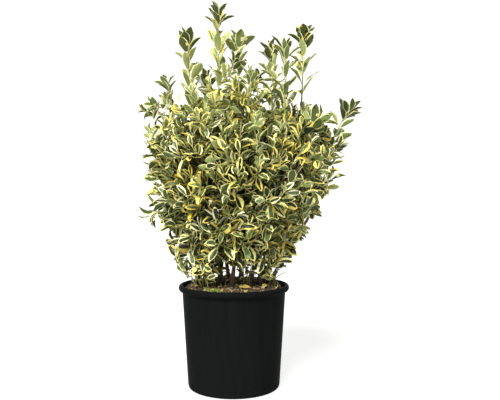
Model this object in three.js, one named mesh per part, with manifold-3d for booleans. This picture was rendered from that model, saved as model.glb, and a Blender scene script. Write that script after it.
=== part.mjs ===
// Variegated Japanese euonymus in a black ten-litre nursery pot.
// Millimetres, +Z up. The origin is the middle of the pot's flat underside, and the front is -Y.
// Ten stems rise from the soil, boughs leave them, and each limb ends in a mass of leafy twigs.
import * as THREE from 'three';
import { mergeVertices } from 'three/addons/utils/BufferGeometryUtils.js';
import Module from 'manifold-3d';

const wasm = await Module();
wasm.setup();

// Driving dimensions

const gap = 0.3; // between a limb's end and what it stands on or carries
const limbClearance = 0.5; // round a limb, kept by boughs, twigs and leaves
const massClearance = 0.6; // from a mass's outside to the faces of its own space

const pot = {
  height: 244,
  rimRadius: 132.5, // outside of the rolled rim
  rimDepth: 20,
  rimWidth: 10,
  topRadius: 122.5, // wall just under the rim
  footRadius: 108.5,
  footRound: 6,
  wall: 1.8,
  floor: 2.4,
  sides: 36,
  drains: 6,
  drainWidth: 15,
  drainHeight: 18,
};

const soil = {
  edge: 233,
  crown: 246,
  plateau: 104, // radius of the flat middle that the stems stand on
  foot: 6, // the ball's lower corner, cut off
};

// Radius of the leafy crown at each height, as [height, radius], widest a little above the middle.
const crown = {
  outline: [[276, 112], [320, 150], [400, 188], [480, 226], [560, 240], [640, 222], [700, 192], [775, 150]],
  centreX: 10,
  depth: 0.93, // front to back, as a share of the width
  lowest: 264,
  slack: 8, // leaves may pass the outline by this much
  free: 400, // the same for the shoots that lead out of the crown
};

// Stems: foot on the soil, radius there, and the tip near which the stem enters its mass.
const stems = {
  far_left: { foot: [-68, 8], radius: 5.2, tip: [-146, 44, 600] },
  left: { foot: [-50, -24], radius: 7.0, tip: [-98, -38, 622] },
  mid_left: { foot: [-34, 24], radius: 6.8, tip: [-38, 20, 640] },
  front: { foot: [-4, -20], radius: 5.6, tip: [34, -84, 604] },
  centre: { foot: [17, 14], radius: 6.4, tip: [12, 80, 632] },
  back: { foot: [-14, 52], radius: 5.2, tip: [-70, 118, 604] },
  mid_right: { foot: [42, 26], radius: 5.2, tip: [88, 42, 620] },
  front_right: { foot: [36, -16], radius: 5.4, tip: [114, -60, 606] },
  right: { foot: [60, 4], radius: 6.4, tip: [158, 22, 636] },
  far_right: { foot: [90, 20], radius: 5.6, tip: [222, 14, 500] },
};
const stemShape = {
  tipRadius: 2.3,
  waist: 0.78, // radius above the root flare, as a share of the foot's
  flare: 0.42, // what the flare adds at the soil
  flareFall: 18,
  lowLean: 0.3, // share of the lean reached at lowRise, a share of the height
  lowRise: 0.34,
  highLean: 0.92,
  highRise: 0.62,
  sides: 6,
  steps: 7,
};
const heartRise = 92; // from a stem's tip up to the heart of its mass
const heartLean = 12;

// Masses on boughs stand round the crown on a spiral that rises by the golden angle.
const spiral = { count: 18, low: 322, high: 634, share: 0.66, start: 200, turn: 137.5 };
const bough = {
  radius: 3.4,
  tipRadius: 1.9,
  rise: 0.95, // height gained for each millimetre of reach
  reach: 44, // from its tip to the heart of its mass
  shortest: 16,
  sag: 0.09,
  lowest: 0.15, // where boughs leave a stem, as shares of the stem's length
  highest: 0.9,
  apart: 3, // from other limbs
  sides: 5,
  steps: 3,
};

// Leading shoots that stand out of the crown, by their tips.
const shootTips = [
  [-37, 20, 912], [-108, -40, 838], [-174, 50, 752], [-206, -16, 668], [-226, 6, 650], [5, 84, 866],
  [37, -82, 752], [-76, 112, 774], [89, 50, 826], [120, -60, 816], [168, 20, 860], [193, -74, 662],
  [290, 12, 678], [70, 132, 770], [-10, 178, 690], [-222, -12, 408], [-228, 4, 500], [262, -16, 560],
  [154, -12, 346], [150, -4, 306], [-136, 0, 296], [18, -6, 796],
];

const twig = {
  leader: 2.8,
  side: 2.4,
  taper: 0.75,
  sides: 3,
  steps: 3,
  perMass: 3, // side twigs, besides those that end in a leading shoot
  fan: 206, // degrees round the heart that they spread over
  low: -14, // their rise in degrees
  high: 52,
  sag: 0.12,
  reach: 120,
  internode: 26,
  leafy: 0.8, // share of a twig that bears leaves
  bud: 7, // from the last leaves to the twig's tip
  whorl: 3,
};

const leaf = {
  length: 98,
  width: 60,
  thick: 2.6,
  widest: 0.54, // widest place, as a share of the length
  dish: 4, // how far the blade is hollowed
  sunk: 0.8, // base behind the twig's axis
  lead: 0.64, // size on leading shoots
  overTip: 38, // how far leaves reach past a leading shoot's tip
  spread: 60, // degrees from the twig
  tipSpread: 44,
  roll: 0.8,
  tries: 12,
  perMass: 12,
};

// Seeded chance, so that the same crown grows every time
let seed = 1;
function sow(number) {
  seed = (number * 7919 + 104729) >>> 0;
}
function chance() {
  seed = (Math.imul(seed, 1664525) + 1013904223) >>> 0;
  return seed / 4294967296;
}
function between(low, high) {
  return low + (high - low) * chance();
}

const up = new THREE.Vector3(0, 0, 1);
const vector = (x, y, z) => new THREE.Vector3(x, y, z);
const toward = (from, to) => to.clone().sub(from).normalize();
const radians = THREE.MathUtils.degToRad;
const taper = (base, tip) => (share) => base + (tip - base) * share;

// Solids

function solidOf(geometry) {
  const bare = geometry.clone();
  bare.deleteAttribute('normal');
  bare.deleteAttribute('uv');
  const merged = mergeVertices(bare);
  return new wasm.Manifold(new wasm.Mesh({
    numProp: 3,
    vertProperties: merged.attributes.position.array,
    triVerts: new Uint32Array(merged.index.array),
  }));
}

function geometryOf(solid) {
  const { vertProperties, triVerts } = solid.getMesh();
  const geometry = new THREE.BufferGeometry();
  geometry.setAttribute('position', new THREE.BufferAttribute(vertProperties, 3));
  geometry.setIndex(new THREE.BufferAttribute(triVerts, 1));
  const faceted = geometry.toNonIndexed();
  faceted.computeVertexNormals();
  return faceted;
}

function largest(solid) {
  return solid.decompose().reduce((best, body) => (body.volume() > best.volume() ? body : best));
}

// A limb is a closed cylinder laid along a curve; radiusAt gives the radius at each share of its length.
// A stem's lowest ring lies flat on the soil.
function limb(curve, radiusAt, sides, steps, flatFoot = false) {
  const geometry = new THREE.CylinderGeometry(1, 1, 1, sides, steps);
  const frames = curve.computeFrenetFrames(steps, false);
  const places = curve.getSpacedPoints(steps);
  const position = geometry.attributes.position;
  for (let i = 0; i < position.count; i += 1) {
    const ring = Math.round((position.getY(i) + 0.5) * steps);
    const radius = radiusAt(ring / steps);
    const place = places[ring].clone();
    place.addScaledVector(frames.normals[ring], radius * position.getX(i));
    place.addScaledVector(frames.binormals[ring], -radius * position.getZ(i));
    if (flatFoot && ring === 0) place.z = places[0].z;
    position.setXYZ(i, place.x, place.y, place.z);
  }
  return geometry;
}

function turned(profile) {
  const points = profile.map(([radius, height]) => new THREE.Vector2(radius, height));
  return new THREE.LatheGeometry(points, pot.sides).rotateX(Math.PI / 2);
}

// Pot and soil

function outerWall(height) {
  return THREE.MathUtils.mapLinear(height, 0, pot.height - pot.rimDepth, pot.footRadius, pot.topRadius);
}

const innerWall = (height) => outerWall(height) - pot.wall;

function potShell() {
  const { height, rimRadius, rimDepth, rimWidth, footRadius, footRound, floor } = pot;
  const under = height - rimDepth;
  const solid = solidOf(turned([
    [0, 0], [footRadius - footRound, 0], [footRadius - footRound / 4, footRound / 3],
    [outerWall(footRound), footRound], [outerWall(under), under],
    [rimRadius - 2, under + rimDepth * 0.3], [rimRadius, under + rimDepth * 0.6],
    [rimRadius - 2, height - 3], [rimRadius - rimWidth * 0.6, height], [rimRadius - rimWidth, height - 1],
    [innerWall(under), under + rimDepth * 0.3],
    [innerWall(floor + 4), floor + 4], [innerWall(floor) - 4, floor], [0, floor],
  ]));
  const drain = new THREE.BoxGeometry(pot.drainWidth, 4 * footRound, pot.drainHeight);
  drain.translate(0, -footRadius, floor + 1.5 + pot.drainHeight / 2);
  const drains = Array.from({ length: pot.drains }, (_, k) => (
    solidOf(drain.clone().rotateZ((k * 2 * Math.PI) / pot.drains))
  ));
  return geometryOf(drains.reduce((rest, hole) => rest.subtract(hole), solid));
}

function soilBall() {
  const clear = 2 * gap;
  const base = pot.floor + gap;
  const shoulder = soil.edge - pot.rimDepth;
  return turned([
    [0, base], [innerWall(base) - soil.foot - clear, base], [innerWall(base) - clear, base + soil.foot],
    [innerWall(shoulder) - clear, shoulder], [innerWall(shoulder) - clear, soil.edge],
    [soil.plateau, soil.crown], [0, soil.crown],
  ]);
}

// Masses and the space that each keeps to

function crownRadius(height) {
  const rows = crown.outline;
  const above = rows.findIndex(([z]) => z > height);
  if (above < 1) return 0;
  const [[z0, r0], [z1, r1]] = [rows[above - 1], rows[above]];
  return THREE.MathUtils.mapLinear(height, z0, z1, r0, r1);
}

function inCrown(point, slack) {
  const radius = Math.hypot(point.x - crown.centreX, point.y / crown.depth);
  return radius < crownRadius(point.z) + slack;
}

function outward(place) {
  return vector(place.x - crown.centreX, place.y, 0).normalize();
}

const masses = Object.entries(stems).map(([name, stem]) => {
  const tip = vector(...stem.tip);
  const heart = tip.clone().addScaledVector(up, heartRise).addScaledVector(outward(tip), heartLean);
  return { name: `foliage_${name}`, heart, stem };
});
for (let k = 0; k < spiral.count; k += 1) {
  const angle = radians(spiral.start + spiral.turn * k);
  const height = THREE.MathUtils.lerp(spiral.low, spiral.high, k / (spiral.count - 1));
  const radius = crownRadius(height) * spiral.share;
  const heart = vector(crown.centreX + radius * Math.cos(angle), radius * crown.depth * Math.sin(angle), height);
  masses.push({ name: `foliage_${k + 1}`, heart });
}

// Each space is the part of the crown that is nearer to its own heart than to any other.
function inOwnSpace(point, own, clearance) {
  return masses.every((other) => {
    if (other === own) return true;
    const apart = own.heart.distanceTo(other.heart);
    const lead = (point.distanceToSquared(other.heart) - point.distanceToSquared(own.heart)) / (2 * apart);
    return lead > clearance;
  });
}

// A limb ends a little way inside the space of the mass that it carries.
function entry(from, own) {
  const place = from.clone();
  const heading = toward(from, own.heart);
  while (!inOwnSpace(place, own, 6)) {
    place.addScaledVector(heading, 4);
  }
  return place;
}

// Stems and boughs

const limbs = []; // every limb with its curve, so that boughs, twigs and leaves keep clear of it

function addLimb(name, curve, radiusAt, { sides, steps }, parent) {
  const whole = solidOf(limb(curve, radiusAt, sides, steps, !parent));
  const solid = parent ? largest(whole.subtract(parent.fat)) : whole;
  const fat = solidOf(limb(curve, (share) => radiusAt(share) + limbClearance, sides, steps));
  limbs.push({ name, curve, radiusAt, solid, fat });
  return limbs.at(-1);
}

// A stem leans out from its foot and turns up again below its tip.
function stemCurve({ foot, tip }, own) {
  const from = vector(foot[0], foot[1], soil.crown + gap);
  const to = entry(vector(...tip), own);
  const rise = to.z - from.z;
  const lean = to.clone().sub(from).setZ(0);
  const { lowLean, lowRise, highLean, highRise } = stemShape;
  const low = from.clone().addScaledVector(lean, lowLean).addScaledVector(up, rise * lowRise);
  const high = from.clone().addScaledVector(lean, highLean).addScaledVector(up, rise * highRise);
  return new THREE.CubicBezierCurve3(from, low, high, to);
}

function stemRadius(base) {
  const { waist, tipRadius, flare, flareFall } = stemShape;
  return (share) => taper(base * waist, tipRadius)(share) + base * flare * Math.exp(-share * flareFall);
}

for (const own of masses.filter((mass) => mass.stem)) {
  const name = own.name.replace('foliage', 'stem');
  own.carrier = addLimb(name, stemCurve(own.stem, own), stemRadius(own.stem.radius), stemShape);
}
const stemLimbs = [...limbs];

// A bough leaves its stem where it can rise evenly to the heart of its mass.
function boughCurve(stem, own) {
  const { heart } = own;
  const places = stem.curve.getSpacedPoints(40);
  const flat = (place) => Math.hypot(heart.x - place.x, heart.y - place.y);
  const level = (place) => Math.abs(heart.z - place.z - bough.rise * flat(place));
  const from = places.slice(40 * bough.lowest, 40 * bough.highest + 1).reduce(
    (best, place) => (level(place) < level(best) ? place : best),
  );
  const reach = Math.min(bough.reach, heart.distanceTo(from) - bough.shortest);
  const to = entry(heart.clone().addScaledVector(toward(heart, from), reach), own);
  const middle = from.clone().lerp(to, 0.5).addScaledVector(up, -bough.sag * from.distanceTo(to));
  return new THREE.QuadraticBezierCurve3(from, middle, to);
}

function clearOf(curve, other) {
  const places = other.curve.getSpacedPoints(60);
  return curve.getSpacedPoints(24).every((own) => places.every((place, k) => (
    own.distanceTo(place) > bough.radius + other.radiusAt(k / 60) + bough.apart
  )));
}

// The nearest stem carries the bough, if the way is clear of the other limbs.
for (const own of masses.filter((mass) => !mass.stem)) {
  const ways = stemLimbs.map((stem) => ({ stem, curve: boughCurve(stem, own) }));
  ways.sort((a, b) => a.curve.getLength() - b.curve.getLength());
  const way = ways.find(({ stem, curve }) => limbs.every((other) => other === stem || clearOf(curve, other)));
  const name = own.name.replace('foliage', 'bough');
  own.carrier = addLimb(name, way.curve, taper(bough.radius, bough.tipRadius), bough, way.stem);
}

const allLimbs = limbs.map((one) => one.fat).reduce((sum, one) => sum.add(one));

// Twigs: a mass grows one leader from the tip of its limb, and side twigs that leave the leader and turn up

// The furthest place from the heart along a direction that is still in the mass's space and the crown.
function reachFrom(own, direction) {
  const place = own.heart.clone();
  for (let step = 0; step < twig.reach; step += 6) {
    const next = place.clone().addScaledVector(direction, 6);
    if (!inOwnSpace(next, own, 7) || !inCrown(next, -6)) break;
    place.copy(next);
  }
  return place;
}

function sideTips(own) {
  const out = outward(own.heart);
  return Array.from({ length: twig.perMass }, (_, k) => {
    const turn = radians(((k + 0.5) / twig.perMass - 0.5) * twig.fan) + between(-0.35, 0.35);
    const rise = radians(between(twig.low, twig.high));
    const direction = out.clone().applyAxisAngle(up, turn).multiplyScalar(Math.cos(rise));
    return reachFrom(own, direction.addScaledVector(up, Math.sin(rise)));
  });
}

function leaderCurve(own, tip) {
  const { curve } = own.carrier;
  const heading = curve.getTangent(1);
  const root = curve.getPoint(1).addScaledVector(heading, gap);
  const ahead = root.clone().addScaledVector(heading, root.distanceTo(tip) * 0.5);
  const control = inOwnSpace(ahead, own, 6) ? ahead : root.clone().lerp(tip, 0.5);
  return new THREE.QuadraticBezierCurve3(root, control, tip);
}

function sideCurve(leader, tip) {
  const from = leader.getPointAt(between(0.12, 0.5));
  const middle = from.clone().lerp(tip, 0.5).addScaledVector(up, -twig.sag * from.distanceTo(tip));
  return new THREE.QuadraticBezierCurve3(from, middle, tip);
}

function twigCurves(own) {
  const leads = shootTips.map((tip) => vector(...tip)).filter((tip) => inOwnSpace(tip, own, massClearance));
  leads.forEach((tip) => tip.addScaledVector(toward(tip, own.heart), leaf.overTip));
  const ahead = outward(own.heart).multiplyScalar(0.55).addScaledVector(up, 0.85).normalize();
  const leader = leaderCurve(own, leads.shift() ?? reachFrom(own, ahead));
  const sides = [...leads, ...sideTips(own)].map((tip) => sideCurve(leader, tip));
  return [leader, ...sides];
}

// A leaf or twig is kept if it stays in its mass's space, in the crown and clear of every limb.
function fits(geometry, own, slack) {
  const position = geometry.attributes.position;
  const point = vector();
  for (let i = 0; i < position.count; i += 1) {
    point.fromBufferAttribute(position, i);
    if (point.z < crown.lowest || !inOwnSpace(point, own, massClearance) || !inCrown(point, slack)) return null;
  }
  const solid = solidOf(geometry);
  return allLimbs.intersect(solid).isEmpty() ? solid : null;
}

function addTwig(own, curve, radius) {
  const slack = inCrown(curve.getPoint(1), 0) ? crown.slack : crown.free;
  const geometry = limb(curve, taper(radius, radius * twig.taper), twig.sides, twig.steps);
  const solid = own.twigs.length ? fits(geometry, own, slack) : solidOf(geometry);
  if (solid) {
    own.twigs.push({ solid, curve, slack });
  }
}

// Leaves

// A leaf is an octahedron drawn out into a blade: base, tip, two edges, upper and under side.
function leafBlade(base, along, face, size) {
  const geometry = new THREE.OctahedronGeometry(1);
  const across = vector().crossVectors(face, along);
  const position = geometry.attributes.position;
  for (let i = 0; i < position.count; i += 1) {
    const [end, edge, side] = [position.getX(i), position.getY(i), position.getZ(i)].map(Math.round);
    const share = end ? (end + 1) / 2 : leaf.widest - 0.16 * Math.abs(side);
    const place = base.clone().addScaledVector(along, leaf.length * size * share);
    place.addScaledVector(across, (leaf.width / 2) * size * edge);
    place.addScaledVector(face, (leaf.thick / 2) * side - leaf.dish * size * Math.abs(side));
    position.setXYZ(i, place.x, place.y, place.z);
  }
  return geometry;
}

// A leaf doesn't cross the other twigs of its mass, or the leaves that stand elsewhere.
function crosses(solid, own, node) {
  const leaves = own.leaves.filter((other) => other.node !== node);
  const twigs = own.twigs.filter((other) => other !== node.shoot);
  return [...leaves, ...twigs].some((other) => !other.solid.intersect(solid).isEmpty());
}

function addLeaf(own, node, turn) {
  const { axis, shoot } = node;
  const side = vector(1, 0, 0).cross(axis).normalize().applyAxisAngle(axis, turn);
  for (let attempt = 0; attempt < leaf.tries; attempt += 1) {
    const spread = radians(node.spread + between(-12, 12) + attempt * between(-6, 10));
    const aside = side.clone().applyAxisAngle(axis, between(-0.3, 0.3) * (1 + attempt * 0.5));
    const along = axis.clone().multiplyScalar(Math.cos(spread)).addScaledVector(aside, Math.sin(spread));
    along.normalize();
    const face = axis.clone().addScaledVector(along, -axis.dot(along)).normalize();
    face.applyAxisAngle(along, between(-leaf.roll, leaf.roll));
    const size = between(0.84, 1.06) * (shoot.slack === crown.free ? leaf.lead : 1) - attempt * 0.03;
    const base = node.place.clone().addScaledVector(along, -leaf.sunk);
    const solid = fits(leafBlade(base, along, face, size), own, shoot.slack);
    if (solid && !crosses(solid, own, node)) {
      own.leaves.push({ solid, node });
      return;
    }
  }
}

// Leaves stand in pairs, each pair turned a quarter from the last, with a whorl at the tip of the shoot.
function leafNodes(shoot) {
  const { curve } = shoot;
  const length = curve.getLength();
  const turn = between(0, Math.PI);
  const pairs = Math.max(1, Math.floor((length * twig.leafy) / twig.internode));
  return Array.from({ length: pairs + 1 }, (_, pair) => {
    const share = 1 - (pair * twig.internode + twig.bud) / length;
    return {
      shoot,
      pair,
      place: curve.getPointAt(share),
      axis: curve.getTangentAt(share),
      turn: turn + (pair * Math.PI) / 2,
      spread: pair ? leaf.spread : leaf.tipSpread,
    };
  });
}

function addLeaves(own) {
  const nodes = own.twigs.flatMap(leafNodes).sort((a, b) => a.pair - b.pair);
  for (const node of nodes) {
    const count = node.pair ? 2 : twig.whorl;
    for (let k = 0; k < count && own.leaves.length < leaf.perMass; k += 1) {
      addLeaf(own, node, node.turn + (k * 2 * Math.PI) / count);
    }
  }
}

// Each mass is one body of twigs with their leaves.
masses.forEach((own, index) => {
  sow(index + 1);
  own.twigs = [];
  own.leaves = [];
  twigCurves(own).forEach((curve, k) => addTwig(own, curve, k ? twig.side : twig.leader));
  addLeaves(own);
  const pieces = [...own.twigs, ...own.leaves].map((one) => one.solid);
  own.solid = largest(wasm.Manifold.union(pieces)).simplify(0.02);
});

// Scene

function piece(name, geometry, colour, roughness) {
  const material = new THREE.MeshStandardMaterial({ color: colour, roughness, metalness: 0 });
  const mesh = new THREE.Mesh(geometry, material);
  mesh.name = name;
  return mesh;
}

const plant = new THREE.Group();
plant.add(piece('pot', potShell(), 0x1a1c1b, 0.5));
plant.add(piece('soil', soilBall(), 0x2e291b, 0.95));
for (const { name, solid } of limbs) {
  plant.add(piece(name, geometryOf(solid), 0x6b5f43, 0.85));
}
for (const { name, solid } of masses) {
  plant.add(piece(name, geometryOf(solid), 0x7c8a4c, 0.6));
}

export default plant;
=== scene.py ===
import math

import bpy
import numpy as np
from numpy.random import default_rng
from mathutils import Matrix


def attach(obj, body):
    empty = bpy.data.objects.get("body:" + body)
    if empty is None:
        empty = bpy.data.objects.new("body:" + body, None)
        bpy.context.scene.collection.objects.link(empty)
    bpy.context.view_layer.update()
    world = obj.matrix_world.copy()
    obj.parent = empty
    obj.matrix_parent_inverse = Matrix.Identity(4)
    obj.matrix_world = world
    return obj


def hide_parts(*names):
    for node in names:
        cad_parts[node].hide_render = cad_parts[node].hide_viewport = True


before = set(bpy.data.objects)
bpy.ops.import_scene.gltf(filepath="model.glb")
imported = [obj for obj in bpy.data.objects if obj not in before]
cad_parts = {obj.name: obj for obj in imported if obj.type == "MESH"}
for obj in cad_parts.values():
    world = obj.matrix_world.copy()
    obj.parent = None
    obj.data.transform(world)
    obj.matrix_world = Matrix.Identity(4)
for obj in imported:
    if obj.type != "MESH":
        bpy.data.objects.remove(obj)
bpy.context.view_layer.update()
print("frame loaded:", len(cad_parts), "nodes")


# Camera at the photograph's height, level, with the picture's middle a little below the horizon
view = {
    "place": (0.0385, -1.58, 0.486), "focal": 656, "sensor": 36, "width": 500, "height": 400,
    "horizon": 183.3,
}


def addCamera():
    camera = bpy.data.objects.new("camera", bpy.data.cameras.new("camera"))
    camera.data.sensor_width = view["sensor"]
    camera.data.lens = view["focal"] / view["width"] * view["sensor"]
    camera.data.shift_y = (view["horizon"] - view["height"] / 2) / view["width"]
    camera.location = view["place"]
    camera.rotation_euler = (math.pi / 2, 0, 0)
    bpy.context.scene.collection.objects.link(camera)
    bpy.context.scene.camera = camera


addCamera()


# Colours and materials
def linear(hexColour):
    # an sRGB channel c becomes ((c + 0.055) / 1.055) to the power 2.4, or c / 12.92 near black
    channels = [int(hexColour[k:k + 2], 16) / 255 for k in (1, 3, 5)]
    return [c / 12.92 if c <= 0.04045 else ((c + 0.055) / 1.055) ** 2.4 for c in channels] + [1.0]


def addNode(tree, kind, settings=None, links=None):
    # settings are properties or input values by name or place, links are outputs that feed an input
    node = tree.nodes.new("ShaderNode" + kind)
    for name, value in (settings or {}).items():
        if isinstance(name, int) or name in node.inputs:
            node.inputs[name].default_value = value
        else:
            setattr(node, name, value)
    for name, source in (links or {}).items():
        tree.links.new(source, node.inputs[name])
    return node


def setInputs(node, values):
    for name, value in values.items():
        node.inputs[name].default_value = value


def newMaterial(name, values):
    material = bpy.data.materials.new(name)
    material.use_nodes = True
    shader = material.node_tree.nodes["Principled BSDF"]
    setInputs(shader, values)
    return material, material.node_tree, shader


def plainMaterial(name, colour, roughness, ior=1.45, specular=0.5):
    # one tint of a surface whose colours are dealt out by face
    shine = {"Roughness": roughness, "IOR": ior, "Specular IOR Level": specular}
    return newMaterial(name, {"Base Color": linear(colour)} | shine)[0]


def grainNoise(tree, scale, detail, roughness=0.5, rise=1.0):
    # noise with this many grains to a metre; a rise below 1 draws the grains out upwards
    coordinates = addNode(tree, "TexCoord")
    place = addNode(tree, "Mapping", {"Scale": (1, 1, rise)}, {"Vector": coordinates.outputs["Object"]})
    settings = {"Scale": scale, "Detail": detail, "Roughness": roughness}
    return addNode(tree, "TexNoise", settings, {"Vector": place.outputs[0]}).outputs["Fac"]


def ramp(tree, source, stops):
    node = addNode(tree, "ValToRGB", links={0: source})
    elements = node.color_ramp.elements
    while len(elements) < len(stops):
        elements.new(0.5)
    for element, (place, colour) in zip(elements, stops):
        element.position = place
        element.color = linear(colour)
    return node.outputs[0]


def surface(tree, shader, colour, grain, strength, depth):
    # feeds a shader its base colour, and a bump of this depth in metres from the grain
    bump = addNode(tree, "Bump", {"Strength": strength, "Distance": depth}, {"Height": grain})
    tree.links.new(colour, shader.inputs["Base Color"])
    tree.links.new(bump.outputs[0], shader.inputs["Normal"])


# Arrays of points and faces
fullTurn = 2 * math.pi
up = np.array([0.0, 0.0, 1.0])


def unit(vectors):
    return vectors / np.maximum(np.linalg.norm(vectors, axis=-1, keepdims=True), 1e-12)


def distance(first, second):
    return np.linalg.norm(first - second, axis=-1)


def circle(count):
    return np.arange(count) * fullTurn / count


def polar(radius, angle):
    return radius * np.cos(angle), radius * np.sin(angle)


def swung(first, second, angle):
    # turns the first direction by the angle towards the second
    return first * np.cos(angle)[..., None] + second * np.sin(angle)[..., None]


def fromTable(value, table):
    # reads a table of (place, value) pairs, in a straight line between its places
    return np.interp(value, *np.array(table).T)


def ripple(points, wavelength, seed):
    # a smooth random field from -1 to 1: the mean of sine waves in random directions, scaled up to fill it
    waves, fill = 9, 1.4
    dealer = default_rng(seed)
    directions = unit(dealer.normal(size=(waves, points.shape[-1])))
    lengths = wavelength * dealer.uniform(0.7, 1.5, waves)
    phases = dealer.uniform(0, fullTurn, waves)
    total = np.sin(fullTurn * (points @ directions.T) / lengths + phases).sum(-1)
    return np.clip(total / math.sqrt(waves) / fill, -1, 1)


def tubeFaces(rows, columns):
    # quads between neighbouring rings of points, then a fan of triangles to a pole at each end
    row, column = np.meshgrid(np.arange(rows) * columns, np.arange(columns), indexing="ij")
    here = row + column
    ahead = row + (column + 1) % columns
    quads = np.stack([here[:-1], ahead[:-1], ahead[1:], here[1:]], axis=-1).reshape(-1, 4)
    pole = np.full(columns, rows * columns)
    return quads, np.stack([ahead[0], here[0], pole], 1), np.stack([here[-1], ahead[-1], pole + 1], 1)


def capped(rings):
    # closes rings of points (rows, columns, 3) with a pole at each end; gives points and faces
    points = np.concatenate([rings.reshape(-1, 3), rings[:1].mean(1), rings[-1:].mean(1)])
    return points, tubeFaces(*rings.shape[:2])


def joined(parts):
    # joins capped parts into one set of points, quads and triangles
    points, faces = zip(*parts)
    starts = np.cumsum([0] + [len(own) for own in points])
    quads = [own[0] + start for own, start in zip(faces, starts)]
    triangles = [np.concatenate(own[1:]) + start for own, start in zip(faces, starts)]
    return np.concatenate(points), [np.concatenate(quads), np.concatenate(triangles)]


def addMesh(name, points, faces, materials, slots=None, sharp=None):
    # faces is a list of arrays, each of triangles or of quads; sharp marks the points along creased edges
    mesh = bpy.data.meshes.new(name)
    corners = np.concatenate([f.reshape(-1) for f in faces]).astype(np.int32)
    sizes = np.concatenate([np.full(len(f), f.shape[1]) for f in faces])
    mesh.vertices.add(len(points))
    mesh.vertices.foreach_set("co", np.asarray(points, np.float32).reshape(-1))
    mesh.loops.add(len(corners))
    mesh.loops.foreach_set("vertex_index", corners)
    mesh.polygons.add(len(sizes))
    mesh.polygons.foreach_set("loop_start", (np.cumsum(sizes) - sizes).astype(np.int32))
    mesh.polygons.foreach_set("use_smooth", np.ones(len(sizes), bool))
    if slots is not None:
        mesh.polygons.foreach_set("material_index", np.asarray(slots, np.int32))
    mesh.update(calc_edges=True)
    if sharp is not None:
        ends = np.empty(len(mesh.edges) * 2, np.int32)
        mesh.edges.foreach_get("vertices", ends)
        creased = sharp[ends.reshape(-1, 2)].all(axis=1)
        mesh.attributes.new("sharp_edge", "BOOLEAN", "EDGE").data.foreach_set("value", creased)
    mesh.validate()
    for material in materials:
        mesh.materials.append(material)
    piece = bpy.data.objects.new(name, mesh)
    bpy.context.scene.collection.objects.link(piece)
    return piece


# The growth rule of the solids: sizes of crown, stems, boughs and twigs
gap = 0.0003
massClearance = 0.0006
soil = {"edge": 0.233, "crown": 0.246, "plateau": 0.104}
crown = {
    "outline": [(0.254, 0.112), (0.276, 0.124), (0.32, 0.15), (0.4, 0.188), (0.48, 0.226), (0.56, 0.24),
                (0.64, 0.222), (0.7, 0.192), (0.775, 0.15)],
    "centreX": 0.01, "depth": 0.93,
}
# for each stem the x and y of its foot, its radius there and the x, y and z of its tip, in millimetres
stems = {
    "far_left": (-68, 8, 5.2, -146, 44, 600), "left": (-50, -24, 7.0, -98, -38, 622),
    "mid_left": (-34, 24, 6.8, -38, 20, 640), "front": (-4, -20, 5.6, 34, -84, 604),
    "centre": (17, 14, 6.4, 12, 80, 632), "back": (-14, 52, 5.2, -70, 118, 604),
    "mid_right": (42, 26, 5.2, 88, 42, 620), "front_right": (36, -16, 5.4, 114, -60, 606),
    "right": (60, 4, 6.4, 158, 22, 636), "far_right": (90, 20, 5.6, 222, 14, 500),
}
stemShape = {
    "tipRadius": 0.0023, "waist": 0.78, "flare": 0.42, "flareFall": 18,
    # the shares of the way from foot to tip, in x, y and z, at which the curve's control points stand
    "low": (0.3, 0.3, 0.34), "high": (0.92, 0.92, 0.62),
}
heartRise = 0.092
heartLean = 0.012
spiral = {"count": 18, "low": 0.322, "high": 0.634, "share": 0.66, "start": 200, "turn": 137.5}
bough = {
    "radius": 0.0034, "tipRadius": 0.0019, "rise": 0.95, "reach": 0.044, "shortest": 0.016, "sag": 0.09,
    "lowest": 0.15, "highest": 0.9, "steps": 40, "apart": 0.003, "ownChecks": 25, "otherChecks": 61,
}
limbEnd = {"margin": 0.006, "step": 0.004}
twig = {
    "perMass": 3, "fan": 206, "fanStray": 0.35, "low": -14, "high": 52, "roots": (0.12, 0.5), "sag": 0.12,
    "reach": 0.12, "step": 0.006, "spaceMargin": 0.007, "crownMargin": 0.006, "overTip": 0.027,
    "smallOverTip": 0.022, "nearTip": 0.001, "shootWay": (0.76, 0.76, 0.4), "leaderLean": 0.55,
    "leaderRise": 0.85, "leaderBend": 0.5, "leaderMargin": 0.006,
    "radius": {"leader": 0.0021, "side": 0.0016, "fine": 0.0011, "sucker": 0.0011}, "tip": 0.0007,
}
# tips of the shoots that lead out of the crown, in millimetres; then the numbers of those whose leaves are
# small, and of those that are lighter than the others
shootTips = np.array([
    (-37, 20, 912), (-108, -40, 838), (-174, 50, 752), (-206, -16, 668), (-226, 6, 650), (5, 84, 866),
    (37, -82, 752), (-76, 112, 774), (89, 50, 826), (120, -60, 816), (168, 20, 860), (214, -74, 643),
    (290, 12, 678), (70, 132, 770), (-10, 178, 690), (-222, -12, 408), (-228, 4, 500), (262, -16, 560),
    (154, -12, 346), (150, -4, 306), (-136, 0, 296), (18, -6, 796),
]) / 1000
smallShoots = (2, 3, 4, 6, 13, 17, 21)
paleShoots = (2, 3, 4, 5, 6, 9, 11, 17)
seed = 1


# The draws of the solids: each mass sows its own row of numbers, so that they repeat
def sow(number):
    global seed
    seed = (number * 7919 + 104729) & 0xffffffff


def chance():
    global seed
    seed = (seed * 1664525 + 1013904223) & 0xffffffff
    return seed / 2 ** 32


def between(low, high):
    return low + (high - low) * chance()


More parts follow.
